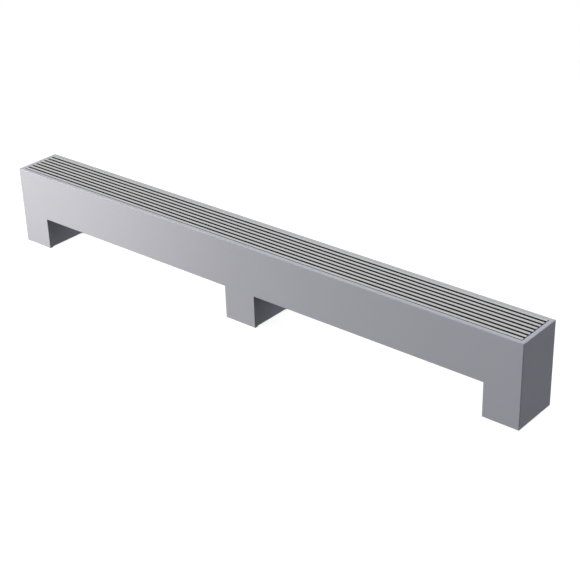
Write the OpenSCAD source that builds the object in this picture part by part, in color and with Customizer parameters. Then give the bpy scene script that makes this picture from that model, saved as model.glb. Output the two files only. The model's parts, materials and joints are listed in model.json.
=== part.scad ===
// Low floor-standing convector: a folded steel casing on three legs, with a lift-out
// linear grille over a copper and aluminium heat exchanger and its two valves.
// Millimetres. The origin is on the floor under the middle of the casing,
// X runs along the length, -Y is the front and Z is up.

/* [Casing] */
// Length of the casing
casing_length = 1700; // [1500:10:2000]
// Depth of the casing, front to back
casing_depth = 140; // [136:1:160]
// Height from the floor to the top of the rim
casing_height = 230; // [226:1:270]
// Height of the legs, which is the air gap under the casing
leg_height = 93; // [80:1:96]
// Length of each leg along the casing
leg_length = 100; // [96:1:120]
// Thickness of the casing sheet
sheet = 1.5; // [1.2:0.1:1.8]
// Inside radius of the bends in the sheet
bend = 0.8; // [0.5:0.1:1.2]
// Width of the rim round the grille
rim_width = 12.5; // [11:0.5:14]
// Width of the turned-in flanges along the bottom edges
return_width = 12; // [10:0.5:15]
// Width of the ledge that carries the grille
ledge_width = 8; // [7:0.5:10]
// Width of the welded side flanges of the leg cheeks
cheek_flange = 12; // [8:1:16]

/* [Grille] */
// Number of bars in the grille
bar_count = 8; // [7:1:9]
// Width of the visible top of a bar
bar_width = 7.8; // [6:0.1:8.5]
// Height of a bar
bar_height = 16; // [14:0.5:18]
// Thickness of the head of a bar over its web
bar_head = 2.4; // [2:0.1:3]
// Thickness of the head of a bar at its edges
bar_lip = 1; // [0.8:0.1:1.6]
// Thickness of the web of a bar
bar_web = 2; // [1.6:0.1:2.6]
// Width of the foot of a bar
bar_foot_width = 4; // [3:0.1:5]
// Thickness of the foot of a bar
bar_foot = 1.6; // [1.2:0.1:2]
// Radius of the rounded top edges of a bar
bar_edge = 0.5; // [0.3:0.1:0.7]
// Gap between the grille and the rim, all round
grille_gap = 0.5; // [0.4:0.1:1]
// Height of the grille's top above the rim
grille_rise = 0.8; // [0:0.1:1.5]
// Radius of the tie rods
rod_radius = 2; // [1.5:0.1:2.2]
// Outer radius of the spacer sleeves on the tie rods
sleeve_radius = 3.6; // [3:0.1:4]
// Distance between the tie rods
rod_pitch = 205; // [150:5:260]
// Distance from the end of the grille to the first tie rod
rod_inset = 17; // [12:1:30]
// Thickness of the rubber strip under the grille
strip_thickness = 1.5; // [1:0.1:2]
// Width of the rubber strip under the grille
strip_width = 6; // [5:0.5:6.5]

/* [Heat exchanger] */
// Depth of a fin, front to back
fin_depth = 100; // [92:1:106]
// Height of a fin
fin_height = 64; // [58:1:66]
// Thickness of a fin
fin_thickness = 0.4; // [0.3:0.05:0.6]
// Distance between the fins
fin_pitch = 6; // [5:0.5:9]
// Outer radius of the copper tubes
tube_radius = 7.5; // [6:0.5:8]
// Wall of the copper tubes
tube_wall = 0.7; // [0.5:0.1:1]
// Distance between the front and back tubes
tube_spacing = 50; // [44:1:54]
// Distance between the upper and lower tubes
row_spacing = 32; // [28:1:34]
// Wall of the fin collars
collar_wall = 0.35; // [0.25:0.05:0.5]
// Wall of the sockets on the return bends
socket_wall = 0.8; // [0.6:0.1:1]
// Depth of the sockets on the return bends
socket_depth = 10; // [8:1:12]
// Height of the cross members above the underside of the casing
cross_height = 6; // [5.6:0.1:7]
// Length of a cross member along the casing
cross_length = 36; // [30:1:40]
// Height of the upturned tabs of a cross member
cross_tab = 18; // [16:1:24]
// Width of the bottom flange of an exchanger plate
plate_flange = 20; // [18:1:24]
// Distance between the two bolts of an exchanger plate
bolt_spacing = 76; // [70:1:84]
// Radius of the small fixing bolts and studs
bolt_radius = 2.5; // [2:0.1:2.8]
// Height of the hexagon heads and nuts of the small fixings
bolt_head = 3.5; // [3:0.1:3.8]
// Width across the flats of the small fixings
bolt_flats = 8; // [7.5:0.1:9]

/* [Legs] */
// Thickness of the foot plates
foot_thickness = 3; // [2.5:0.1:4]
// Radius of the floor bolt holes
foot_hole = 4.5; // [3.5:0.1:5]
// Distance from the floor bolts to the end of a foot plate
foot_end = 11.5; // [10:0.5:13]
// Distance from the floor bolts to the long edge of a foot plate
foot_side = 20; // [16:1:24]
// Width of the sheet between the pipe window and the floor bolts
window_web = 5.5; // [4:0.5:8]
// Width of the sheet between the pipe window and the long edge of a foot plate
window_side = 19; // [14:1:24]
// Radius of the corners of the pipe window
window_corner = 6; // [4:0.5:10]

/* [Valves] */
// Radius of the tapped hole for the heating pipe
pipe_hole = 9.3; // [8.5:0.1:9.6]
// Depth of the tapped hole for the heating pipe
pipe_hole_depth = 15; // [12:1:18]
// Radius of the valve bodies
valve_radius = 12.5; // [12:0.1:13.5]
// Length of a valve body below the lower tubes
valve_drop = 40; // [34:1:42]
// Height of a valve body above the lower tubes
valve_rise = 13; // [12:0.5:15]
// Outer radius of the threaded ends of the valves
thread_radius = 10.5; // [10.2:0.1:11]
// Width across the flats of the union nuts
union_flats = 30; // [29:0.5:32]
// Length of a union nut
union_length = 16; // [14:0.5:18]
// Radius of the hand wheel
wheel_radius = 17; // [15.5:0.5:20]
// Height of the hand wheel
wheel_height = 22; // [18:0.5:26]
// Radius of the thermostat thread under the hand wheel
neck_radius = 14; // [13:0.5:14]
// Radius of the valve pin
pin_radius = 1.5; // [1:0.1:2]
// Travel of the valve pin
pin_travel = 3; // [2:0.1:3.5]
// Radius of the cap over the lockshield valve
cap_radius = 12; // [11.8:0.1:14]
// Height of the cap over the lockshield valve
cap_height = 18; // [16:0.5:20]
// Radius of the air vent
vent_radius = 4.5; // [4:0.1:5.5]
// Height of the air vent above its neck
vent_height = 7; // [6:0.5:12]

/* [Hidden] */

$fn = 64;

// One overrun for every cut
over = 1;
// Clearance of a piece that is pushed into its seat
fit = 0.05;
// Clearance of a piece that turns
turn_fit = 0.08;
// Clearance between pieces that lie beside each other
space = 0.3;

// The casing's faces
half_length = casing_length / 2;
half_depth = casing_depth / 2;
inner_depth = half_depth - sheet;
corner_radius = bend + sheet;
opening_length = casing_length - 2 * rim_width;
opening_depth = casing_depth - 2 * rim_width;
leg_centre = half_length - leg_length / 2;
leg_inner = half_length - leg_length;

// The grille and its seat
grille_length = opening_length - 2 * grille_gap;
grille_depth = opening_depth - 2 * grille_gap;
bar_pitch = (grille_depth - bar_width) / (bar_count - 1);
grille_top = casing_height + grille_rise;
grille_bottom = grille_top - bar_height;
seat_gap = 0.2;
strip_bottom = grille_bottom - seat_gap - strip_thickness;
ledge_drop = casing_height - strip_bottom;
strip_setback = bend + space;
strip_length = opening_length - 2 * strip_setback;
rod_z = grille_bottom + (bar_height - bar_head + bar_foot) / 2;
rod_gaps = max(1, round((grille_length - 2 * rod_inset) / rod_pitch));
rod_step = (grille_length - 2 * rod_inset) / rod_gaps;
rod_places = [for (i = [0 : rod_gaps]) -grille_length / 2 + rod_inset + i * rod_step];

// The foot plates, clear of the leg's sheets
foot_gap = 2;
foot_plate_x = leg_length - 2 * (sheet + foot_gap);
foot_plate_y = 2 * (inner_depth - sheet - foot_gap);
foot_spacing_x = foot_plate_x - 2 * foot_end;
foot_spacing_y = foot_plate_y - 2 * foot_side;
window_length = foot_spacing_x - 2 * (foot_hole + window_web);
window_depth = foot_plate_y - 2 * window_side;

// The exchanger, from the cross members up
cross_z = leg_height + cross_height;
plate_z = cross_z + sheet;
fin_lift = 2 * sheet + 0.5;
fin_z = plate_z + fin_lift;
row_z = fin_z + fin_height / 2;
upper_z = row_z + row_spacing / 2;
lower_z = row_z - row_spacing / 2;
tube_y = tube_spacing / 2;
tube_bore = tube_radius - tube_wall;
plate_margin = 2;
plate_inset_left = 20;
plate_inset_right = 35;
plate_left_x = -(leg_inner - plate_inset_left);
plate_right_x = leg_inner - plate_inset_right;
plate_middle_x = -plate_flange / 2;
pack_end_gap = 4;
bend_clearance = 3;
bend_left_x = plate_left_x - plate_flange - bend_clearance;
bend_right_x = plate_right_x + plate_flange + bend_clearance;
socket_shoulder = 1;

// Places of the exchanger plates, with the side that each flange lies to
plate_places = [[plate_left_x, -1], [plate_middle_x, 1], [plate_right_x, 1]];
stud_z = cross_z + (cross_tab + sheet) / 2;
stud_length = 9;

// The valve line on a lower tube: connector, union and valve body along X
valve_x = leg_centre;
branch_length = 25;
branch_x = valve_x - branch_length;
seal_thickness = 2;
seal_x = branch_x - seal_thickness;
connector_collar = 4;
connector_socket = 12;
connector_gap = 12;
connector_x = plate_right_x + connector_gap;
connector_wall = 2;
connector_waist = tube_radius + connector_wall;
union_lip = 3;
union_x = seal_x - connector_collar - union_lip - fit;
valve_bore = 7;
seat_bore = 4.5;
seat_depth = 4;
seat_z = lower_z - valve_bore - seat_depth / 2;
plug_depth = 5;
valve_bottom = lower_z - valve_drop;
valve_top = lower_z + valve_rise;
pipe_collar = 2;
pipe_collar_height = pipe_hole_depth + 2;

// The thermostat neck and its hand wheel
insert_hex = 6;
insert_flats = 22;
neck_height = 10;
neck_z = valve_top + insert_hex;
collar_ring = 2.5;
collar_top = 1.5;
spigot_height = 6;
spigot_radius = 11;
wheel_z = neck_z + neck_height + collar_top + space;
cavity_radius = 6;
pin_rise = 1;
pin_top = wheel_z + spigot_height + pin_rise;
cavity_top = 2;
disc_radius = 5.5;
disc_height = 3;
disc_z = seat_z + pin_travel + space;
wheel_groove = 1.1;
wheel_grooves = 18;
wheel_edge = 1.5;

// The lockshield insert, spindle and cap
shield_neck_radius = cap_radius - 2;
shield_neck = 7;
spindle_radius = 4;
spindle_rise = 3;
spindle_tip = 4;
spindle_key = 5;
spindle_key_depth = 5;
cap_z = valve_top + 3;
cap_top = 2;

// The air vent, in a neck drawn out of the upper bend
vent_neck = 4;
vent_neck_radius = vent_radius + fit + socket_wall;
vent_x = bend_right_x + tube_spacing / 2;
vent_z = upper_z + tube_radius + vent_neck;
vent_seat = 5;
vent_bore = 2.2;
vent_rise = 2.5;
vent_key = 1;

function setback(turn) = turn == 0 ? 0 : turn > 0 ? corner_radius : bend;

function hexagon_radius(flats) = flats / sqrt(3);

// Middle of a bar of the grille, counted from the front
function bar_y(i) = (i - (bar_count + 1) / 2) * bar_pitch;

// Middle of a cross member, and of the exchanger plate's flange on it
function cross_x(place) = place[0] + place[1] * plate_flange / 2;

// A quarter of a ring between two radii, in the quadrant of the given signs
module quarter_ring(inner, outer, side_x, side_y) {
    intersection() {
        difference() {
            circle(outer);
            circle(inner);
        }
        translate([min(0, side_x * outer), min(0, side_y * outer)]) square(outer);
    }
}

// The section of a folded sheet. Each step is the length to the next sharp corner and
// the turn there, 90 to the left, -90 to the right or 0 at the end. The steps follow
// the outer face, and the sheet lies to their left.
module folded(steps, i = 0) {
    length = steps[i][0];
    turn = steps[i][1];
    lead = i == 0 ? 0 : setback(steps[i - 1][1]);
    tail = setback(turn);
    translate([lead, 0]) square([length - lead - tail, sheet]);
    if (turn > 0)
        translate([length - corner_radius, corner_radius])
            quarter_ring(bend, corner_radius, 1, -1);
    if (turn < 0)
        translate([length - bend, -bend])
            quarter_ring(bend, corner_radius, 1, 1);
    if (turn != 0)
        translate([length, 0]) rotate(turn) folded(steps, i + 1);
}

// A Y-Z section run along X, centred
module along_x(length) {
    rotate([90, 0, 90]) linear_extrude(length, center = true) children();
}

// A rectangle with four round corners
module round_rectangle(x, y, r) {
    square([x - 2 * r, y], center = true);
    square([x, y - 2 * r], center = true);
    for (sx = [-1, 1], sy = [-1, 1])
        translate([sx * (x / 2 - r), sy * (y / 2 - r)]) circle(r);
}

// The section of a casing panel whose outer face stands at reach from the middle
module panel_section(reach, bottom) {
    translate([-reach + rim_width + ledge_width, strip_bottom]) rotate(180)
        folded([[ledge_width, -90], [ledge_drop, 90], [rim_width, 90],
                [casing_height - bottom, 90], [return_width, 0]]);
}

// The part of the casing's plan that belongs to the front panel or to an end panel
module front_plan() {
    polygon([[-half_length, -half_depth], [half_length, -half_depth],
             [half_length - half_depth, 0], [half_depth - half_length, 0]]);
}

module end_plan() {
    polygon([[half_length, -half_depth], [half_length, half_depth],
             [half_length - half_depth, 0]]);
}

module mitred() {
    intersection() {
        children(0);
        linear_extrude(casing_height) intersection() {
            round_rectangle(casing_length, casing_depth, corner_radius);
            children(1);
        }
    }
}

// Front panel: rim, lip and ledge along the top, three leg outlines below
module front_panel() {
    gap_length = leg_inner - leg_length / 2;
    gap_centre = leg_length / 2 + gap_length / 2;
    mitred() {
        union() {
            for (x = [-leg_centre, 0, leg_centre])
                translate([x, 0, 0]) along_x(leg_length) panel_section(half_depth, 0);
            for (x = [-gap_centre, gap_centre])
                translate([x, 0, 0]) along_x(gap_length) panel_section(half_depth, leg_height);
        }
        front_plan();
    }
}

module right_end_panel() {
    mitred() {
        rotate([0, 0, 90]) along_x(casing_depth) panel_section(half_length, 0);
        end_plan();
    }
}

module casing_front() color([0.66, 0.66, 0.69]) front_panel();
module casing_back() color([0.66, 0.66, 0.69]) rotate([0, 0, 180]) front_panel();
module end_panel_right() color([0.62, 0.62, 0.65]) right_end_panel();
module end_panel_left() color([0.62, 0.62, 0.65]) rotate([0, 0, 180]) right_end_panel();

// Inner wall of a leg, its face at x, closing the leg on the side that faces a gap
module leg_cheek(x, facing) {
    cheek_bottom = sheet + bend;
    cheek_height = leg_height + sheet - cheek_bottom;
    color([0.58, 0.58, 0.61])
        translate([x, 0, cheek_bottom])
            rotate([0, 0, facing > 0 ? 0 : 180])
                linear_extrude(cheek_height)
                    translate([-cheek_flange, -inner_depth])
                        folded([[cheek_flange, 90], [2 * inner_depth, 90], [cheek_flange, 0]]);
}

module leg_cheek_left() leg_cheek(-leg_inner, 1);
module leg_cheek_middle_left() leg_cheek(-leg_length / 2, -1);
module leg_cheek_middle_right() leg_cheek(leg_length / 2, 1);
module leg_cheek_right() leg_cheek(leg_inner, -1);

// Strip across the casing that carries the exchanger, its end tabs held by stud nuts
module cross_member(place) {
    color([0.72, 0.74, 0.75]) translate([cross_x(place), 0, 0]) difference() {
        translate([0, 0, cross_z]) along_x(cross_length)
            translate([-inner_depth, cross_tab]) rotate(-90)
                folded([[cross_tab, 90], [2 * inner_depth, 90], [cross_tab, 0]]);
        for (side = [-1, 1]) {
            translate([0, side * bolt_spacing / 2, cross_z - over])
                cylinder(h = sheet + 2 * over, r = bolt_radius + fit);
            translate([0, side * inner_depth, stud_z]) rotate([90, 0, 0])
                cylinder(h = 2 * sheet + 2 * over, r = bolt_radius + fit, center = true);
        }
    }
}

module cross_member_left() cross_member(plate_places[0]);
module cross_member_middle() cross_member(plate_places[1]);
module cross_member_right() cross_member(plate_places[2]);

module hexagon(flats, height) {
    cylinder(h = height, r = hexagon_radius(flats), $fn = 6);
}

// A stud or a nut at each end tab, pointing inwards
module at_tabs() {
    for (place = plate_places, side = [-1, 1])
        translate([cross_x(place), side * inner_depth, stud_z])
            rotate([side * 90, 0, 0]) children();
}

module casing_studs() {
    color([0.75, 0.72, 0.6]) at_tabs() cylinder(h = stud_length, r = bolt_radius);
}

module stud_nuts() {
    color([0.8, 0.8, 0.82]) at_tabs() translate([0, 0, sheet]) difference() {
        hexagon(bolt_flats, bolt_head);
        translate([0, 0, -over]) cylinder(h = bolt_head + 2 * over, r = bolt_radius + fit);
    }
}

// Plate in the foot of a leg, clamped to the floor on the leg's turned-in flanges
module foot_plate(x) {
    color([0.7, 0.71, 0.73]) translate([x, 0, sheet]) linear_extrude(foot_thickness) difference() {
        square([foot_plate_x, foot_plate_y], center = true);
        round_rectangle(window_length, window_depth, window_corner);
        for (sx = [-1, 1], sy = [-1, 1])
            translate([sx * foot_spacing_x / 2, sy * foot_spacing_y / 2]) circle(foot_hole);
    }
}

module foot_plate_left() foot_plate(-leg_centre);
module foot_plate_right() foot_plate(leg_centre);

// Rubber strip on the ledge, under the outer bar of the grille
module seat_strip(side) {
    strip_y = side * (opening_depth / 2 - strip_setback - strip_width / 2);
    color([0.08, 0.08, 0.08]) translate([-strip_length / 2, strip_y - strip_width / 2, strip_bottom])
        cube([strip_length, strip_width, strip_thickness]);
}

module seat_strip_front() seat_strip(-1);
module seat_strip_back() seat_strip(1);

// The drawn section of a bar: a head with round edges and a tapered underside, a web
// and a foot
module bar_section() {
    half_width = bar_width / 2;
    lip_z = bar_height - bar_lip;
    head_z = bar_height - bar_head;
    translate([-half_width, lip_z]) square([bar_width, bar_lip - bar_edge]);
    translate([bar_edge - half_width, lip_z]) square([bar_width - 2 * bar_edge, bar_lip]);
    for (side = [-1, 1])
        translate([side * (half_width - bar_edge), bar_height - bar_edge]) circle(bar_edge);
    polygon([[-half_width, lip_z], [-bar_web / 2, head_z], [bar_web / 2, head_z],
             [half_width, lip_z]]);
    translate([-bar_web / 2, 0]) square([bar_web, head_z]);
    translate([-bar_foot_width / 2, 0]) square([bar_foot_width, bar_foot]);
}

module grille_bar(i) {
    color([0.8, 0.8, 0.8]) translate([0, bar_y(i), 0]) difference() {
        translate([0, 0, grille_bottom]) along_x(grille_length) bar_section();
        for (x = rod_places)
            translate([x, 0, rod_z]) rotate([90, 0, 0])
                cylinder(h = bar_web + 2 * over, r = rod_radius + fit, center = true);
    }
}

// Rods through all the webs, with their ends riveted over against the outer webs
module grille_tie_rods() {
    rivet = 0.8;
    rod_length = (bar_count - 1) * bar_pitch + bar_web;
    color([0.15, 0.15, 0.15]) for (x = rod_places) translate([x, 0, rod_z]) rotate([90, 0, 0]) {
        cylinder(h = rod_length + rivet, r = rod_radius, center = true);
        for (side = [-1, 1])
            translate([0, 0, side * (rod_length + rivet) / 2])
                cylinder(h = rivet, r = rod_radius + rivet, center = true);
    }
}

module grille_spacers() {
    sleeve_length = bar_pitch - bar_web;
    color([0.05, 0.05, 0.05])
        for (x = rod_places, i = [1 : bar_count - 1])
            translate([x, bar_y(i) + bar_pitch / 2, rod_z]) rotate([90, 0, 0]) difference() {
                cylinder(h = sleeve_length, r = sleeve_radius, center = true);
                cylinder(h = sleeve_length + 2 * over, r = rod_radius + fit, center = true);
            }
}

// Children at the four tubes, each along X
module at_tubes() {
    for (y = [-tube_y, tube_y], z = [lower_z, upper_z])
        translate([0, y, z]) rotate([0, 90, 0]) children();
}

// Fins on four drawn collars that run through all of them
module fin_pack(from_x, to_x) {
    room = to_x - from_x - fin_thickness;
    fins = floor(room / fin_pitch);
    start = from_x + (room - fins * fin_pitch) / 2;
    collar_inner = tube_radius + fit;
    collar_outer = collar_inner + collar_wall;
    color([0.83, 0.84, 0.86]) {
        for (i = [0 : fins])
            translate([start + i * fin_pitch, 0, row_z]) rotate([90, 0, 90])
                linear_extrude(fin_thickness) difference() {
                    square([fin_depth, fin_height], center = true);
                    for (y = [-tube_y, tube_y], z = [-row_spacing / 2, row_spacing / 2])
                        translate([y, z]) circle(collar_inner + collar_wall / 2);
                }
        translate([start, 0, 0]) at_tubes()
            linear_extrude(fins * fin_pitch + fin_thickness) difference() {
                circle(collar_outer);
                circle(collar_inner);
            }
    }
}

module fin_pack_left() fin_pack(plate_left_x + pack_end_gap, plate_middle_x - pack_end_gap);
module fin_pack_right() {
    fin_pack(plate_middle_x + plate_flange + pack_end_gap, plate_right_x - pack_end_gap);
}

// Angle plate that carries the tubes, bolted down on its cross member
module exchanger_plate(place) {
    depth = fin_depth + 2 * plate_margin;
    height = fin_lift + fin_height + plate_margin;
    side = place[1];
    color([0.75, 0.77, 0.78]) translate([place[0], 0, plate_z]) difference() {
        rotate([90, 0, 0]) linear_extrude(depth, center = true)
            mirror([side > 0 ? 0 : 1, 0])
                translate([0, height]) rotate(-90) folded([[height, 90], [plate_flange, 0]]);
        for (y = [-tube_y, tube_y], z = [lower_z, upper_z])
            translate([0, y, z - plate_z]) rotate([0, 90, 0])
                cylinder(h = 2 * sheet + 2 * over, r = tube_radius + fit, center = true);
        for (hand = [-1, 1])
            translate([side * plate_flange / 2, hand * bolt_spacing / 2, -over])
                cylinder(h = sheet + 2 * over, r = bolt_radius + fit);
    }
}

module exchanger_plate_left() exchanger_plate(plate_places[0]);
module exchanger_plate_middle() exchanger_plate(plate_places[1]);
module exchanger_plate_right() exchanger_plate(plate_places[2]);

// Fixings at both ends of each exchanger plate's flange
module at_plate_bolts(z) {
    for (place = plate_places, side = [-1, 1])
        translate([cross_x(place), side * bolt_spacing / 2, z]) children();
}

module exchanger_bolts() {
    shank = 2 * sheet + bolt_head + 1;
    color([0.8, 0.8, 0.82]) at_plate_bolts(plate_z + sheet) {
        hexagon(bolt_flats, bolt_head);
        translate([0, 0, -shank]) cylinder(h = shank + bolt_head / 2, r = bolt_radius);
    }
}

module exchanger_nuts() {
    color([0.8, 0.8, 0.82]) at_plate_bolts(cross_z - bolt_head) difference() {
        hexagon(bolt_flats, bolt_head);
        translate([0, 0, -over]) cylinder(h = bolt_head + 2 * over, r = bolt_radius + fit);
    }
}

// Copper tube from the left return bend to its right end
module copper_tube(y, z, right_x) {
    left_x = bend_left_x + fit;
    color([0.72, 0.45, 0.3]) translate([left_x, y, z]) rotate([0, 90, 0])
        linear_extrude(right_x - left_x) difference() {
            circle(tube_radius);
            circle(tube_bore);
        }
}

module tube_upper_front() copper_tube(-tube_y, upper_z, bend_right_x - fit);
module tube_upper_back() copper_tube(tube_y, upper_z, bend_right_x - fit);
module tube_lower_front() copper_tube(-tube_y, lower_z, connector_x + socket_depth);
module tube_lower_back() copper_tube(tube_y, lower_z, connector_x + socket_depth);

// Half torus of a tube's outside or bore, its ends facing -X at half a spacing to each side
module half_ring(spacing, r) {
    rotate([0, 0, -90]) rotate_extrude(angle = 180) translate([spacing / 2, 0]) circle(r);
}

// Return bend with a socket on each end, opening towards -X
module bend_blank(spacing) {
    half_ring(spacing, tube_radius);
    for (side = [-1, 1])
        translate([-socket_depth, side * spacing / 2, 0]) rotate([0, 90, 0])
            cylinder(h = socket_depth + socket_shoulder, r = tube_radius + fit + socket_wall);
}

module bend_bores(spacing) {
    half_ring(spacing, tube_bore);
    for (side = [-1, 1])
        translate([-socket_depth - over, side * spacing / 2, 0]) rotate([0, 90, 0])
            cylinder(h = socket_depth + over, r = tube_radius + fit);
}

module left_bend(y) {
    color([0.72, 0.45, 0.3]) translate([bend_left_x, y, row_z]) rotate([90, 0, 180]) difference() {
        bend_blank(row_spacing);
        bend_bores(row_spacing);
    }
}

module return_bend_front() left_bend(-tube_y);
module return_bend_back() left_bend(tube_y);

// Bend between the upper tubes, with the neck for the air vent drawn out of its crown
module crossover_bend() {
    color([0.72, 0.45, 0.3]) difference() {
        union() {
            translate([bend_right_x, 0, upper_z]) bend_blank(tube_spacing);
            translate([vent_x, 0, upper_z]) cylinder(h = vent_z - upper_z, r = vent_neck_radius);
        }
        translate([bend_right_x, 0, upper_z]) bend_bores(tube_spacing);
        translate([vent_x, 0, upper_z]) cylinder(h = vent_z - upper_z + over, r = vent_radius + fit);
    }
}

// Brass tail soldered on a lower tube, with the collar that the union nut draws up
module connector(y) {
    connector_length = seal_x - connector_x;
    color([0.75, 0.62, 0.35]) translate([connector_x, y, lower_z]) rotate([0, 90, 0]) difference() {
        union() {
            cylinder(h = connector_length, r = connector_waist);
            translate([0, 0, connector_length - connector_collar])
                cylinder(h = connector_collar, r = thread_radius - space);
        }
        translate([0, 0, -over]) cylinder(h = connector_socket + over, r = tube_radius + fit);
        cylinder(h = connector_length + over, r = valve_bore - 1);
    }
}

module flow_connector() connector(-tube_y);
module return_connector() connector(tube_y);

// Hexagonal nut that pulls the connector's collar against the valve
module union_nut(y) {
    color([0.78, 0.7, 0.5]) translate([union_x, y, lower_z]) rotate([0, 90, 0]) difference() {
        hexagon(union_flats, union_length);
        translate([0, 0, -over]) cylinder(h = union_length + 2 * over, r = connector_waist + space);
        translate([0, 0, union_lip]) cylinder(h = union_length + over, r = thread_radius + fit);
    }
}

module union_nut_flow() union_nut(-tube_y);
module union_nut_return() union_nut(tube_y);

// Flat seals between the connectors and the valves
module union_seals() {
    color([0.1, 0.1, 0.1]) for (y = [-tube_y, tube_y])
        translate([seal_x, y, lower_z]) rotate([0, 90, 0]) linear_extrude(seal_thickness) difference() {
            circle(thread_radius - space);
            circle(valve_bore);
        }
}

// Angle valve body: pipe socket below, threaded branch towards the exchanger, a seat
// between them and an open top for the insert
module angle_body(y) {
    color([0.76, 0.72, 0.62]) translate([valve_x, y, 0]) difference() {
        union() {
            translate([0, 0, valve_bottom]) cylinder(h = valve_drop + valve_rise, r = valve_radius);
            translate([0, 0, valve_bottom]) cylinder(h = pipe_collar_height, r = valve_radius + pipe_collar);
            translate([0, 0, lower_z]) sphere(valve_radius + pipe_collar / 2);
            translate([-branch_length, 0, lower_z]) rotate([0, 90, 0])
                cylinder(h = branch_length, r = thread_radius);
        }
        translate([0, 0, valve_bottom - over]) cylinder(h = pipe_hole_depth + over, r = pipe_hole);
        translate([0, 0, valve_bottom]) cylinder(h = seat_z - seat_depth - valve_bottom, r = valve_bore);
        translate([0, 0, valve_bottom]) cylinder(h = valve_drop, r = seat_bore);
        translate([0, 0, seat_z]) cylinder(h = valve_top + over - seat_z, r = valve_bore);
        translate([-branch_length - over, 0, lower_z]) rotate([0, 90, 0])
            cylinder(h = branch_length + over, r = valve_bore - space);
    }
}

module valve_body() angle_body(-tube_y);
module lockshield_body() angle_body(tube_y);

// Plug of an insert, which closes the top of a valve body
module insert_plug() {
    translate([0, 0, -plug_depth]) cylinder(h = plug_depth + over, r = valve_bore - fit);
}

// Thermostat insert: plug, hexagon and round threaded neck, bored for the pin
module valve_insert() {
    color([0.8, 0.72, 0.5]) translate([valve_x, -tube_y, valve_top]) difference() {
        union() {
            insert_plug();
            hexagon(insert_flats, insert_hex);
            translate([0, 0, insert_hex]) cylinder(h = neck_height, r = neck_radius);
        }
        translate([0, 0, -plug_depth - over])
            cylinder(h = plug_depth + insert_hex + neck_height + 2 * over, r = pin_radius + fit);
    }
}

// Pin that the hand wheel presses down, with the valve disc at its lower end
module valve_pin() {
    color([0.85, 0.85, 0.87]) translate([valve_x, -tube_y, disc_z]) {
        cylinder(h = pin_top - disc_z, r = pin_radius);
        cylinder(h = disc_height, r = disc_radius);
    }
}

// Ring on the neck, with the spigot that the hand wheel turns on
module head_collar() {
    ring_height = neck_height + collar_top;
    color([0.2, 0.2, 0.2]) translate([valve_x, -tube_y, neck_z]) difference() {
        union() {
            cylinder(h = ring_height, r = neck_radius + collar_ring);
            cylinder(h = ring_height + spigot_height, r = spigot_radius);
        }
        translate([0, 0, -over]) cylinder(h = neck_height + over, r = neck_radius + fit);
        cylinder(h = ring_height + spigot_height + over, r = cavity_radius);
    }
}

// Hand wheel with finger grooves, hollow over the spigot and the pin
module hand_wheel() {
    color([0.9, 0.9, 0.88]) translate([valve_x, -tube_y, wheel_z]) difference() {
        union() {
            cylinder(h = wheel_height - wheel_edge, r = wheel_radius);
            translate([0, 0, wheel_height - wheel_edge])
                cylinder(h = wheel_edge, r1 = wheel_radius, r2 = wheel_radius - wheel_edge);
        }
        for (i = [1 : wheel_grooves])
            rotate(i * 360 / wheel_grooves) translate([wheel_radius + wheel_groove / 2, 0, -over])
                cylinder(h = wheel_height + 2 * over, r = wheel_groove);
        translate([0, 0, -over]) cylinder(h = spigot_height + space + over, r = spigot_radius + turn_fit);
        cylinder(h = pin_top - wheel_z + cavity_top, r = cavity_radius);
    }
}

// Lockshield insert: plug, hexagon and the neck that the cap fits over
module lockshield_insert() {
    neck_top = cap_z - valve_top + shield_neck;
    color([0.8, 0.72, 0.5]) translate([valve_x, tube_y, valve_top]) difference() {
        union() {
            insert_plug();
            hexagon(insert_flats, cap_z - valve_top - space);
            cylinder(h = neck_top, r = shield_neck_radius);
        }
        translate([0, 0, -plug_depth - over])
            cylinder(h = plug_depth + neck_top + 2 * over, r = spindle_radius + turn_fit);
    }
}

// Spindle with a hexagon socket above and a blunt cone over the seat
module lockshield_spindle() {
    spindle_top = cap_z + shield_neck + spindle_rise;
    spindle_bottom = seat_z + seat_depth;
    color([0.8, 0.78, 0.7]) translate([valve_x, tube_y, 0]) difference() {
        union() {
            translate([0, 0, spindle_bottom + spindle_tip])
                cylinder(h = spindle_top - spindle_bottom - spindle_tip, r = spindle_radius);
            translate([0, 0, spindle_bottom])
                cylinder(h = spindle_tip, r1 = spindle_radius / 2, r2 = spindle_radius);
        }
        translate([0, 0, spindle_top - spindle_key_depth]) hexagon(spindle_key, spindle_key_depth + over);
    }
}

module lockshield_cap() {
    color([0.9, 0.9, 0.88]) translate([valve_x, tube_y, cap_z]) difference() {
        cylinder(h = cap_height, r = cap_radius);
        translate([0, 0, -over])
            cylinder(h = cap_height - cap_top + over, r = shield_neck_radius + turn_fit);
    }
}

// Bleed valve in the neck of the upper bend
module vent_body() {
    color([0.8, 0.74, 0.55]) translate([vent_x, 0, vent_z - vent_seat]) difference() {
        cylinder(h = vent_seat + vent_height, r = vent_radius);
        translate([0, 0, -over]) cylinder(h = vent_seat + vent_height + 2 * over, r = vent_bore);
    }
}

module vent_screw() {
    screw_length = vent_height + vent_rise;
    color([0.85, 0.85, 0.87]) translate([vent_x, 0, vent_z]) difference() {
        cylinder(h = screw_length, r = vent_bore - turn_fit);
        translate([0, 0, screw_length])
            cube([2 * vent_bore, vent_key, 2 * vent_key], center = true);
    }
}

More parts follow.
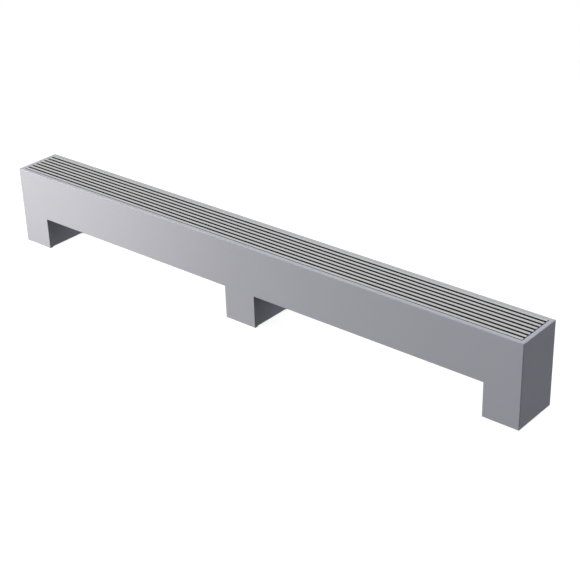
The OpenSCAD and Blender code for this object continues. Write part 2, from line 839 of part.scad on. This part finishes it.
casing_front();
casing_back();
end_panel_left();
end_panel_right();
leg_cheek_left();
leg_cheek_middle_left();
leg_cheek_middle_right();
leg_cheek_right();
cross_member_left();
cross_member_middle();
cross_member_right();
casing_studs();
stud_nuts();
foot_plate_left();
foot_plate_right();
seat_strip_front();
seat_strip_back();
for (i = [1 : bar_count])
    grille_bar(i);
grille_tie_rods();
grille_spacers();
fin_pack_left();
fin_pack_right();
exchanger_plate_left();
exchanger_plate_middle();
exchanger_plate_right();
exchanger_bolts();
exchanger_nuts();
tube_upper_front();
tube_upper_back();
tube_lower_front();
tube_lower_back();
return_bend_front();
return_bend_back();
crossover_bend();
flow_connector();
return_connector();
union_nut_flow();
union_nut_return();
union_seals();
valve_body();
valve_insert();
valve_pin();
head_collar();
hand_wheel();
lockshield_body();
lockshield_insert();
lockshield_spindle();
lockshield_cap();
vent_body();
vent_screw();
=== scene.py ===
"""Looks of the floor convector: finishes for every CAD node, the small turned, soldered and
threaded details round them, and the floor, light and camera. Metres, in the shared frame."""

import json
import math

import bpy
import numpy as np
from mathutils import Matrix, Vector


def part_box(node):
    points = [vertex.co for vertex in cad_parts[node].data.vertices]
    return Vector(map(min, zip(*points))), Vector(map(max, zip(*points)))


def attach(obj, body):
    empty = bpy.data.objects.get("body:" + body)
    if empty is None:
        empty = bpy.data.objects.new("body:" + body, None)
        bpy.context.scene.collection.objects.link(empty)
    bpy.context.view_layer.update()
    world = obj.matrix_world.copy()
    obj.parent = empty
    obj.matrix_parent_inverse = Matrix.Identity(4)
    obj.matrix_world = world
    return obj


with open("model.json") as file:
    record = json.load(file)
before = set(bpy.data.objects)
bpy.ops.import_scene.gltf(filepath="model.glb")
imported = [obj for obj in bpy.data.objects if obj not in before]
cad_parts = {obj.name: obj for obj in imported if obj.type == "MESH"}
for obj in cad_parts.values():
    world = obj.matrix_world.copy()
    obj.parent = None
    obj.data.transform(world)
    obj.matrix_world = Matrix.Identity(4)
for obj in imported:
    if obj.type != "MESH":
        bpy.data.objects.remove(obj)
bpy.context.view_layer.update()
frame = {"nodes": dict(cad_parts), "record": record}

MM = 0.001
WHITE = (1.0, 1.0, 1.0, 1.0)

# Camera: the photograph's viewpoint, solved from the casing's edges, with angles in radians
CAMERA_PLACE = (2.1838, -2.4224, 1.7772)
CAMERA_YAW = 0.70691
CAMERA_PITCH = 0.4836
CAMERA_ROLL = -0.0303
CAMERA_LENS = 86.18
CAMERA_SENSOR = 36.0

# Sky: an even part, and two broad parts that each come from one side
SKY_EVEN = 0.03
SKY_FRONT = 3.2
SKY_BACK = 2.5
SKY_FOCUS = 4.0
SKY_COOL = (0.96, 0.985, 1.05, 1.0)
FRONT_WAY = (-0.5, -0.86, 0.1)
BACK_WAY = (0.12, 0.9, 0.42)

# Lamps: place, what the lamp points at, width, height, power and colour
LEFT_LAMP = ((-0.93, -1.0, 0.4), (-0.83, 0.0, 0.12), 0.4, 0.4, 9.6, (1.0, 0.99, 0.88))
TOP_LAMP = ((0.3, -0.3, 2.6), (0.0, 0.0, 0.2), 2.6, 1.2, 30.0, (1.0, 0.98, 0.92))

# Floor: what it shows, what light it gives back, and where its shadow fades to plain white
FLOOR_REACH = 20.0
FLOOR_GLOW = 0.87
FLOOR_SHADE = 0.3
FLOOR_BOUNCE = 0.04
FLOOR_FADE_START = 1.2
FLOOR_FADE_END = 2.4

# Sizes of the fittings, in millimetres, as the part's source has them
TUBE_RADIUS = 7.5
VENT_NECK_RADIUS = 4.5
PIPE_SOCKET_RADIUS = 9.3
STUD_RADIUS = 2.5
PANEL_INSIDE = 68.5
STUD_NUT_HEIGHT = 5.3
COLLAR_RADIUS = 16.5
CAP_RADIUS = 12.0

# Sizes of the details, in millimetres, but POINTER_GAP in radians and DIAL_STEP in degrees
TUBE_SOLDER_LEG = 0.9
VENT_SOLDER_LEG = 0.6
SOLDER_SUNK = 0.05
PIPE_THREAD_START = 1.2
PIPE_THREAD_DEPTH = 0.55
PIPE_THREAD_PITCH = 1.81
PIPE_THREAD_LENGTH = 12.7
STUD_THREAD_DEPTH = 0.14
STUD_THREAD_PITCH = 0.8
STUD_THREAD_LENGTH = 3.3
RIB_SUNK = 0.03
COLLAR_RIBS = 36
COLLAR_RIB_HEIGHT = 0.45
COLLAR_RIB_WIDTH = 1.3
COLLAR_RIB_RISE = (0.8, 10.2)
POINTER_HEIGHT = 0.4
POINTER_WIDTH = 1.6
POINTER_RISE = (3, 11)
POINTER_GAP = 0.3
CAP_RIBS = 24
CAP_RIB_HEIGHT = 0.4
CAP_RIB_WIDTH = 1.1
CAP_RIB_FOOT = 1
CAP_RIB_TOP = 2
DIAL_RING = 11.2
DIAL_STEP = 60
NUMBER_SIZE = 5.4
NUMBER_DEPTH = 0.18
DOT_RADIUS = 1.1
DOT_TOP_RADIUS = 0.9
DOT_HEIGHT = 0.2


def linear(red, green, blue):
    """A colour written as it shows on a screen, 0 to 255, as the shader's own values."""
    shares = np.array([red, green, blue], float) / 255
    values = np.where(shares <= 0.04045, shares / 12.92, ((shares + 0.055) / 1.055) ** 2.4)
    return (*values.tolist(), 1.0)


# Node trees

def new_node(tree, kind, settings=(), values=()):
    """A shader node with its settings and the values or links of its inputs."""
    made = tree.nodes.new(kind)
    for key, value in dict(settings).items():
        setattr(made, key, value)
    for key, value in dict(values).items():
        if isinstance(value, bpy.types.NodeSocket):
            tree.links.new(value, made.inputs[key])
        else:
            made.inputs[key].default_value = value
    return made


def stretched(tree, scale):
    """The object's own coordinates, scaled along each axis."""
    place = new_node(tree, "ShaderNodeTexCoord").outputs["Object"]
    return new_node(tree, "ShaderNodeMapping", {}, {"Vector": place, "Scale": scale}).outputs[0]


def grain(tree, scale, detail=3.0):
    """Noise in the object's own coordinates, stretched by a scale for each axis."""
    vector = stretched(tree, scale)
    made = new_node(tree, "ShaderNodeTexNoise", {}, {
        "Vector": vector, "Scale": 1.0, "Detail": detail, "Roughness": 0.5})
    return made.outputs["Fac"]


def between(tree, share, low, high):
    """A share from 0 to 1, most of it from 0.3 to 0.7, carried to a range of values."""
    return new_node(tree, "ShaderNodeMapRange", {}, {
        "Value": share, "From Min": 0.3, "From Max": 0.7, "To Min": low, "To Max": high}).outputs[0]


def mixed(tree, share, first, second):
    """One colour passing into another."""
    made = new_node(tree, "ShaderNodeMix", {"data_type": "RGBA"})
    tree.links.new(share, made.inputs["Factor"])
    made.inputs["A"].default_value = first
    made.inputs["B"].default_value = second
    return made.outputs["Result"]


def shade(colour, share):
    """The same colour, lighter or darker by a share."""
    return tuple(min(1.0, c * share) for c in colour[:3]) + (1.0,)


def finish(name, colour, metallic, roughness, spread, patch, patch_change, relief, relief_depth,
           other=None, specular=0.5):
    """A material with a colour that drifts over patches, an uneven gloss and a fine relief.
    patch and relief are scales per metre along X, Y and Z; the changes are shares."""
    material = bpy.data.materials.new(name)
    material.use_nodes = True
    tree = material.node_tree
    shader = tree.nodes["Principled BSDF"]
    shader.inputs["Metallic"].default_value = metallic
    shader.inputs["Specular IOR Level"].default_value = specular
    drift = between(tree, grain(tree, patch), 0.0, 1.0)
    far = other or shade(colour, 1 + patch_change)
    tree.links.new(mixed(tree, drift, shade(colour, 1 - patch_change), far), shader.inputs["Base Color"])
    fine = grain(tree, relief, 2.0)
    tree.links.new(between(tree, fine, roughness - spread, roughness + spread), shader.inputs["Roughness"])
    bump = new_node(tree, "ShaderNodeBump", {}, {"Height": fine, "Distance": relief_depth, "Strength": 1.0})
    tree.links.new(bump.outputs[0], shader.inputs["Normal"])
    return material


def even(scale):
    return (scale, scale, scale)


def spangled(name, colour):
    """Zinc-coated sheet: frost-like crystals, each with its own brightness and gloss."""
    material = finish(name, colour, 0.85, 0.42, 0.05, even(9), 0.05, even(900), 0.00002)
    tree = material.node_tree
    shader = tree.nodes["Principled BSDF"]
    cells = new_node(tree, "ShaderNodeTexVoronoi", {}, {"Vector": stretched(tree, even(70)), "Scale": 1.0})
    value = new_node(tree, "ShaderNodeSeparateColor", {}, {"Color": cells.outputs["Color"]}).outputs[0]
    tree.links.new(mixed(tree, value, shade(colour, 0.86), shade(colour, 1.1)), shader.inputs["Base Color"])
    gloss = new_node(tree, "ShaderNodeMapRange", {}, {"Value": value, "To Min": 0.34, "To Max": 0.52})
    tree.links.new(gloss.outputs[0], shader.inputs["Roughness"])
    return material


FINISHES = {
    "powder_coat": finish("powder_coat", linear(168, 168, 178), 0.0, 0.52, 0.04, even(6), 0.012,
                          even(1400), 0.000012, specular=0.18),
    "anodised": finish("anodised", linear(190, 190, 190), 0.95, 0.26, 0.02, (2, 20, 20), 0.015,
                       (5, 1500, 1500), 0.000003),
    "black_steel": finish("black_steel", linear(40, 41, 43), 0.0, 0.42, 0.06, even(40), 0.1,
                          even(1600), 0.00003),
    "black_plastic": finish("black_plastic", linear(33, 33, 35), 0.0, 0.5, 0.06, even(30), 0.06,
                            even(2400), 0.00004),
    "black_rubber": finish("black_rubber", linear(26, 26, 26), 0.0, 0.82, 0.06, even(60), 0.15,
                           even(1500), 0.00015, specular=0.3),
    "galvanised": spangled("galvanised", linear(196, 199, 203)),
    "fin_aluminium": finish("fin_aluminium", linear(222, 223, 226), 0.9, 0.34, 0.06, (8, 30, 30), 0.05,
                            (900, 60, 700), 0.00003),
    "copper": finish("copper", linear(190, 118, 84), 0.95, 0.33, 0.07, even(45), 0.12,
                     (60, 900, 900), 0.00002, other=linear(158, 92, 70)),
    "brass": finish("brass", linear(198, 164, 96), 0.95, 0.28, 0.03, even(50), 0.05,
                    even(2600), 0.000006),
    "nickel_brass": finish("nickel_brass", linear(200, 195, 183), 0.95, 0.27, 0.03, even(40), 0.03,
                           even(2200), 0.000007),
    "zinc_fixings": finish("zinc_fixings", linear(200, 202, 206), 0.9, 0.34, 0.07, even(120), 0.08,
                           even(2000), 0.00003, other=linear(206, 204, 190)),
    "white_plastic": finish("white_plastic", linear(236, 236, 231), 0.0, 0.42, 0.04, even(30), 0.01,
                            even(2600), 0.00003),
    "stainless": finish("stainless", linear(206, 206, 208), 0.95, 0.25, 0.06, even(60), 0.04,
                        (2400, 2400, 200), 0.00002),
}
SOLDER = finish("solder", linear(186, 178, 160), 0.9, 0.3, 0.08, even(200), 0.12, even(700), 0.0001)
DIAL_INK = finish("dial_ink", linear(70, 72, 76), 0.0, 0.5, 0.04, even(60), 0.03, even(2000), 0.00002)


def dress_nodes():
    """Each CAD node takes the finish of its slot."""
    for row in frame["record"]["subparts"]:
        node = frame["nodes"][row["node"]]
        node.data.materials.clear()
        node.data.materials.append(FINISHES[row["material_slot"]])


WELD_DISTANCE = 0.00001
SHARP_ANGLE = 35
ROUNDED_EDGES = (
    (0.3, ("stud_nuts", "exchanger_bolts", "exchanger_nuts", "vent_body", "lockshield_spindle")),
    (0.5, ("union_nut_flow", "union_nut_return", "valve_insert", "lockshield_insert", "grille_tie_rods")),
    (0.4, ("valve_body", "lockshield_body", "flow_connector", "return_connector", "head_collar")),
    (0.9, ("lockshield_cap",)),
    (0.25, ("foot_plate_left", "foot_plate_right")),
)


def round_edges():
    """Small rounded edges, as a tool, a mould or a press leaves them, with radii in millimetres."""
    for radius, names in ROUNDED_EDGES:
        for name in names:
            node = frame["nodes"][name]
            weld = node.modifiers.new("weld", "WELD")
            weld.merge_threshold = WELD_DISTANCE
            bevel = node.modifiers.new("rounded_edges", "BEVEL")
            bevel.width = radius * MM
            bevel.segments = 2
            bevel.limit_method = "ANGLE"
            bevel.angle_limit = math.radians(SHARP_ANGLE)
            bevel.harden_normals = True


# Surfaces

def axes_of(direction):
    """Two directions square to the given one, which with it make a right-handed set."""
    ahead = np.array(direction, float)
    ahead /= np.linalg.norm(ahead)
    guess = np.array([0.0, 0.0, 1.0]) if abs(ahead[2]) < 0.9 else np.array([1.0, 0.0, 0.0])
    side = np.cross(guess, ahead)
    side /= np.linalg.norm(side)
    return side, np.cross(ahead, side), ahead


def grid_faces(rows, columns, first_corner, loop_rows, loop_columns):
    """Four-cornered faces over a grid of points; a looped direction joins its end to its start."""
    r = np.arange(rows if loop_rows else rows - 1)
    c = np.arange(columns if loop_columns else columns - 1)
    r, c = (a.ravel() for a in np.meshgrid(r, c, indexing="ij"))
    nr = (r + 1) % rows
    nc = (c + 1) % columns
    corners = np.stack([r * columns + c, nr * columns + c, nr * columns + nc, r * columns + nc], axis=1)
    return corners + first_corner


def add_piece(name, parts, material, body):
    """One object from grids of points. Each part is (points with rows and columns, rows
    looped or not, columns looped or not)."""
    points = []
    faces = []
    count = 0
    for grid, loop_rows, loop_columns in parts:
        rows, columns = grid.shape[:2]
        faces.append(grid_faces(rows, columns, count, loop_rows, loop_columns))
        points.append(grid.reshape(-1, 3))
        count += rows * columns
    points = np.concatenate(points)
    faces = np.concatenate(faces)
    mesh = bpy.data.meshes.new(name)
    mesh.from_pydata(points.tolist(), [], faces.tolist())
    mesh.update()
    mesh.shade_smooth()
    mesh.materials.append(material)
    made = bpy.data.objects.new(name, mesh)
    bpy.context.scene.collection.objects.link(made)
    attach(made, body)
    return made


def turned(centre, direction, profile, steps=40):
    """A profile of (radius, height) pairs carried round an axis: at each angle the point
    stands at the radius from the axis and at the height along it."""
    side, up, ahead = axes_of(direction)
    radius, height = np.array(profile, float).T
    angle = np.arange(steps) * 2 * math.pi / steps
    spoke = np.cos(angle)[:, None] * side + np.sin(angle)[:, None] * up
    grid = (np.array(centre, float) + radius[None, :, None] * spoke[:, None, :]
            + height[None, :, None] * ahead)
    return grid, True, False


def thread(centre, direction, radius, depth, pitch, length, steps=20):
    """A screw thread's ridge: a three-cornered profile as tall as depth, carried round the
    axis while it climbs one pitch a turn, and sinking into its cylinder over the last
    half turn at both ends. A negative depth stands inwards."""
    side, up, ahead = axes_of(direction)
    turns = length / pitch
    along = np.linspace(0, 1, int(turns * steps) + 1)
    angle = along * turns * 2 * math.pi
    fade = np.clip(np.minimum(along, 1 - along) * turns * 2, 0, 1)
    across = np.array([-0.46, -0.08, 0.08, 0.46]) * pitch
    rise = np.array([-0.02, 1.0, 1.0, -0.02]) * depth
    spoke = np.cos(angle)[:, None] * side + np.sin(angle)[:, None] * up
    r = radius + rise[None, :] * fade[:, None]
    h = along[:, None] * length + across[None, :]
    grid = np.array(centre, float) + r[..., None] * spoke[:, None, :] + h[..., None] * ahead
    if depth < 0:
        grid = grid[:, ::-1]
    return grid, False, False


def middle(node):
    low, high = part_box(node)
    return (low + high) / 2


def solder_profile(tube, leg):
    """The hollow fillet of solder between a tube and the end face of its socket: a quarter
    circle bowed inwards, from the face down to the tube."""
    angle = np.linspace(0, math.pi / 2, 7)
    r = tube + leg * (1 - np.sin(angle))
    h = leg * (1 - np.cos(angle))
    ring = list(zip(r.tolist(), h.tolist()))
    inside = tube - SOLDER_SUNK * MM
    return ring + [(inside, leg), (inside, 0.0), ring[0]]


def solder_rings():
    """A bead of solder wherever a tube enters a bend, a connector or the vent's neck."""
    tube = TUBE_RADIUS * MM
    leg = TUBE_SOLDER_LEG * MM
    joints = []
    for node in ("tube_upper_front", "tube_upper_back", "tube_lower_front", "tube_lower_back"):
        low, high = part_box(node)
        y, z = (low.y + high.y) / 2, (low.z + high.z) / 2
        bend = "return_bend_front" if y < 0 else "return_bend_back"
        joints.append(((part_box(bend)[1].x, y, z), (1, 0, 0)))
        end = "crossover_bend" if "upper" in node else ("flow_connector" if y < 0 else "return_connector")
        joints.append(((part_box(end)[0].x, y, z), (-1, 0, 0)))
    parts = [turned(place, axis, solder_profile(tube, leg)) for place, axis in joints]
    neck_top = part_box("crossover_bend")[1].z
    vent = middle("vent_body")
    ring = solder_profile(VENT_NECK_RADIUS * MM, VENT_SOLDER_LEG * MM)
    parts.append(turned((vent.x, vent.y, neck_top), (0, 0, 1), ring))
    add_piece("solder_rings", parts, SOLDER, "convector")


def pipe_threads():
    """The half-inch threads in the two pipe sockets, which stand a little inwards."""
    for name, node in (("pipe_thread_flow", "valve_body"), ("pipe_thread_return", "lockshield_body")):
        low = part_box(node)[0]
        seat = middle("valve_insert" if node == "valve_body" else "lockshield_insert")
        start = (seat.x, seat.y, low.z + PIPE_THREAD_START * MM)
        ridge = thread(start, (0, 0, 1), PIPE_SOCKET_RADIUS * MM, -PIPE_THREAD_DEPTH * MM,
                       PIPE_THREAD_PITCH * MM, PIPE_THREAD_LENGTH * MM, 32)
        add_piece(name, [ridge], FINISHES["nickel_brass"], "convector")


def stud_threads():
    """Threads on the casing studs past their nuts."""
    low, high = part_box("casing_studs")
    z = (low.z + high.z) / 2
    parts = []
    for y_side in (-1, 1):
        for member in ("cross_member_left", "cross_member_middle", "cross_member_right"):
            start = (middle(member).x, y_side * (PANEL_INSIDE - STUD_NUT_HEIGHT) * MM, z)
            parts.append(thread(start, (0, -y_side, 0), STUD_RADIUS * MM, STUD_THREAD_DEPTH * MM,
                                STUD_THREAD_PITCH * MM, STUD_THREAD_LENGTH * MM))
    add_piece("stud_threads", parts, FINISHES["zinc_fixings"], "convector")


def grip_ribs(centre, radius, depth, width, low, high, angles):
    """Bars that stand on the side of a round piece: across, each rises as half an ellipse,
    and it runs out smoothly at both ends. Their borders lie a little under the surface."""
    along = np.linspace(-1, 1, 15)
    across = np.linspace(-1, 1, 9)
    rise = np.sqrt(1 - across[None, :] ** 2) * np.sqrt(1 - along[:, None] ** 8) * depth
    rise -= RIB_SUNK * MM
    z = (low + high) / 2 + along[:, None] * (high - low) / 2 + 0 * rise
    parts = []
    for angle in angles:
        turn = angle + across[None, :] * width / 2 / radius + 0 * rise
        r = radius + rise
        grid = np.stack([centre.x + r * np.cos(turn), centre.y + r * np.sin(turn), z], axis=2)
        parts.append((grid[:, ::-1], False, False))
    return parts


def valve_grips():
    """Ribs round the head collar and the lockshield cap, and the pointer for the dial."""
    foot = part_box("head_collar")[0].z
    axis = middle("head_collar")
    front = 1.5 * math.pi
    rib_foot, rib_top = COLLAR_RIB_RISE
    angles = np.arange(COLLAR_RIBS) * 2 * math.pi / COLLAR_RIBS
    collar = grip_ribs(axis, COLLAR_RADIUS * MM, COLLAR_RIB_HEIGHT * MM, COLLAR_RIB_WIDTH * MM,
                       foot + rib_foot * MM, foot + rib_top * MM,
                       angles[abs(angles - front) > POINTER_GAP])
    add_piece("collar_ribs", collar, FINISHES["black_plastic"], "convector")
    rib_foot, rib_top = POINTER_RISE
    pointer = grip_ribs(axis, COLLAR_RADIUS * MM, POINTER_HEIGHT * MM, POINTER_WIDTH * MM,
                        foot + rib_foot * MM, foot + rib_top * MM, [front])
    add_piece("dial_pointer", pointer, FINISHES["white_plastic"], "convector")
    low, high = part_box("lockshield_cap")
    angles = np.arange(CAP_RIBS) * 2 * math.pi / CAP_RIBS
    cap = grip_ribs(middle("lockshield_cap"), CAP_RADIUS * MM, CAP_RIB_HEIGHT * MM, CAP_RIB_WIDTH * MM,
                    low.z + CAP_RIB_FOOT * MM, high.z - CAP_RIB_TOP * MM, angles)
    add_piece("cap_ribs", cap, FINISHES["white_plastic"], "lockshield_cap")


def dial_numbers():
    """Raised numbers 1 to 5 and a closing dot round the top of the hand wheel."""
    low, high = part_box("hand_wheel")
    centre = (low + high) / 2
    ring = DIAL_RING * MM
    for number in range(1, 6):
        word = str(number)
        angle = math.radians(90 - DIAL_STEP * number)
        curve = bpy.data.curves.new("dial_number_" + word, "FONT")
        curve.body = word
        curve.size = NUMBER_SIZE * MM
        curve.extrude = NUMBER_DEPTH * MM
        curve.align_x = "CENTER"
        curve.align_y = "CENTER"
        curve.resolution_u = 3
        holder = bpy.data.objects.new("dial_number_maker", curve)
        bpy.context.scene.collection.objects.link(holder)
        bpy.context.view_layer.update()
        mesh = bpy.data.meshes.new_from_object(holder)
        bpy.data.objects.remove(holder)
        place = Vector((centre.x + ring * math.cos(angle), centre.y + ring * math.sin(angle), high.z))
        mesh.transform(Matrix.Translation(place) @ Matrix.Rotation(angle - math.pi / 2, 4, "Z"))
        mesh.materials.clear()
        mesh.materials.append(DIAL_INK)
        made = bpy.data.objects.new("dial_number_" + word, mesh)
        bpy.context.scene.collection.objects.link(made)
        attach(made, "hand_wheel")
    dot = turned((centre.x, centre.y + ring, high.z), (0, 0, 1),
                 [(0.0, DOT_HEIGHT * MM), (DOT_TOP_RADIUS * MM, DOT_HEIGHT * MM), (DOT_RADIUS * MM, 0.0)], 24)
    add_piece("dial_dot", [dot], DIAL_INK, "hand_wheel")


# Floor, sky and lamps

def seen_rays(tree):
    """1 for rays that show the background: the camera's own, reflections and views through glass."""
    path = new_node(tree, "ShaderNodeLightPath")
    first = new_node(tree, "ShaderNodeMath", {"operation": "MAXIMUM"}, {
        0: path.outputs["Is Camera Ray"], 1: path.outputs["Is Glossy Ray"]})
    return new_node(tree, "ShaderNodeMath", {"operation": "MAXIMUM"}, {
        0: first.outputs[0], 1: path.outputs["Is Transmission Ray"]}).outputs[0]


def add_floor():
    """A plain pale floor that shows white, with a faint soft shadow of the object. It can't
    be seen from below."""
    mesh = bpy.data.meshes.new("floor")
    corners = [(x * FLOOR_REACH, y * FLOOR_REACH, 0) for x, y in ((-1, -1), (1, -1), (1, 1), (-1, 1))]
    mesh.from_pydata(corners, [], [(0, 1, 2, 3)])
    floor = bpy.data.objects.new("floor", mesh)
    bpy.context.scene.collection.objects.link(floor)
    material = bpy.data.materials.new("floor")
    material.use_nodes = True
    tree = material.node_tree
    tree.nodes.clear()
    seen = seen_rays(tree)
    pale = new_node(tree, "ShaderNodeBsdfDiffuse", {}, {"Color": (*[FLOOR_BOUNCE] * 3, 1)}).outputs[0]
    veil = new_node(tree, "ShaderNodeBsdfDiffuse", {}, {"Color": (*[FLOOR_SHADE] * 3, 1)}).outputs[0]
    glow = new_node(tree, "ShaderNodeEmission", {}, {"Color": WHITE, "Strength": FLOOR_GLOW}).outputs[0]
    shown = new_node(tree, "ShaderNodeAddShader", {}, {0: veil, 1: glow}).outputs[0]
    both = new_node(tree, "ShaderNodeMixShader", {}, {0: seen, 1: pale, 2: shown}).outputs[0]
    place = new_node(tree, "ShaderNodeTexCoord").outputs["Object"]
    away = new_node(tree, "ShaderNodeVectorMath", {"operation": "LENGTH"}, {0: place}).outputs["Value"]
    far = new_node(tree, "ShaderNodeMapRange", {}, {
        "Value": away, "From Min": FLOOR_FADE_START, "From Max": FLOOR_FADE_END}).outputs[0]
    white = new_node(tree, "ShaderNodeEmission", {}, {"Color": WHITE, "Strength": 1.0}).outputs[0]
    seen_far = new_node(tree, "ShaderNodeMath", {"operation": "MULTIPLY"}, {0: far, 1: seen}).outputs[0]
    faded = new_node(tree, "ShaderNodeMixShader", {}, {0: seen_far, 1: both, 2: white}).outputs[0]
    under = new_node(tree, "ShaderNodeNewGeometry").outputs["Backfacing"]
    clear = new_node(tree, "ShaderNodeBsdfTransparent").outputs[0]
    top_only = new_node(tree, "ShaderNodeMixShader", {}, {0: under, 1: faded, 2: clear}).outputs[0]
    new_node(tree, "ShaderNodeOutputMaterial", {}, {"Surface": top_only})
    mesh.materials.append(material)


def add_sky():
    """Plain soft light from all round, behind which the background shows white. A broad part
    is the cosine of the angle from its own direction, raised to a power, and nothing from a
    right angle on."""
    world = bpy.data.worlds.new("sky")
    bpy.context.scene.world = world
    world.use_nodes = True
    tree = world.node_tree
    tree.nodes.clear()
    way = new_node(tree, "ShaderNodeTexCoord").outputs["Generated"]
    even_part = new_node(tree, "ShaderNodeBackground", {}, {"Color": SKY_COOL, "Strength": SKY_EVEN})
    light = even_part.outputs[0]
    for side, strength, colour in ((FRONT_WAY, SKY_FRONT, WHITE), (BACK_WAY, SKY_BACK, SKY_COOL)):
        facing = new_node(tree, "ShaderNodeVectorMath", {"operation": "DOT_PRODUCT"}, {
            0: way, 1: side}).outputs["Value"]
        ahead = new_node(tree, "ShaderNodeMath", {"operation": "MAXIMUM"}, {0: facing, 1: 0.0}).outputs[0]
        focus = new_node(tree, "ShaderNodeMath", {"operation": "POWER"}, {0: ahead, 1: SKY_FOCUS}).outputs[0]
        glow = new_node(tree, "ShaderNodeMath", {"operation": "MULTIPLY"}, {0: focus, 1: strength}).outputs[0]
        part = new_node(tree, "ShaderNodeBackground", {}, {"Color": colour, "Strength": glow}).outputs[0]
        light = new_node(tree, "ShaderNodeAddShader", {}, {0: light, 1: part}).outputs[0]
    white = new_node(tree, "ShaderNodeBackground", {}, {"Color": WHITE, "Strength": 1.0}).outputs[0]
    both = new_node(tree, "ShaderNodeMixShader", {}, {0: seen_rays(tree), 1: light, 2: white}).outputs[0]
    new_node(tree, "ShaderNodeOutputWorld", {}, {"Surface": both})


def add_lamp(name, place, aim, width, height, power, colour):
    """A soft box lamp that neither the camera nor a reflection shows."""
    data = bpy.data.lights.new(name, "AREA")
    data.shape = "RECTANGLE"
    data.size = width
    data.size_y = height
    data.energy = power
    data.color = colour
    lamp = bpy.data.objects.new(name, data)
    lamp.location = place
    lamp.rotation_euler = (Vector(aim) - Vector(place)).to_track_quat("-Z", "Y").to_euler()
    lamp.visible_camera = False
    lamp.visible_glossy = False
    bpy.context.scene.collection.objects.link(lamp)


def add_camera():
    """The photograph's viewpoint: a yaw from +Y towards -X, a pitch down and a small roll."""
    data = bpy.data.cameras.new("camera")
    data.sensor_width = CAMERA_SENSOR
    data.lens = CAMERA_LENS
    data.clip_start = 0.05
    data.clip_end = 100.0
    camera = bpy.data.objects.new("camera", data)
    ahead = Vector((-math.sin(CAMERA_YAW) * math.cos(CAMERA_PITCH),
                    math.cos(CAMERA_YAW) * math.cos(CAMERA_PITCH), -math.sin(CAMERA_PITCH)))
    turn = ahead.to_track_quat("-Z", "Y").to_matrix() @ Matrix.Rotation(CAMERA_ROLL, 3, "Z")
    camera.matrix_world = Matrix.Translation(CAMERA_PLACE) @ turn.to_4x4()
    bpy.context.scene.collection.objects.link(camera)
    bpy.context.scene.camera = camera


add_camera()
dress_nodes()
round_edges()
solder_rings()
pipe_threads()
stud_threads()
valve_grips()
dial_numbers()
add_floor()
add_sky()
add_lamp("left_lamp", *LEFT_LAMP)
add_lamp("top_lamp", *TOP_LAMP)

bpy.context.scene.view_settings.view_transform = "Standard"
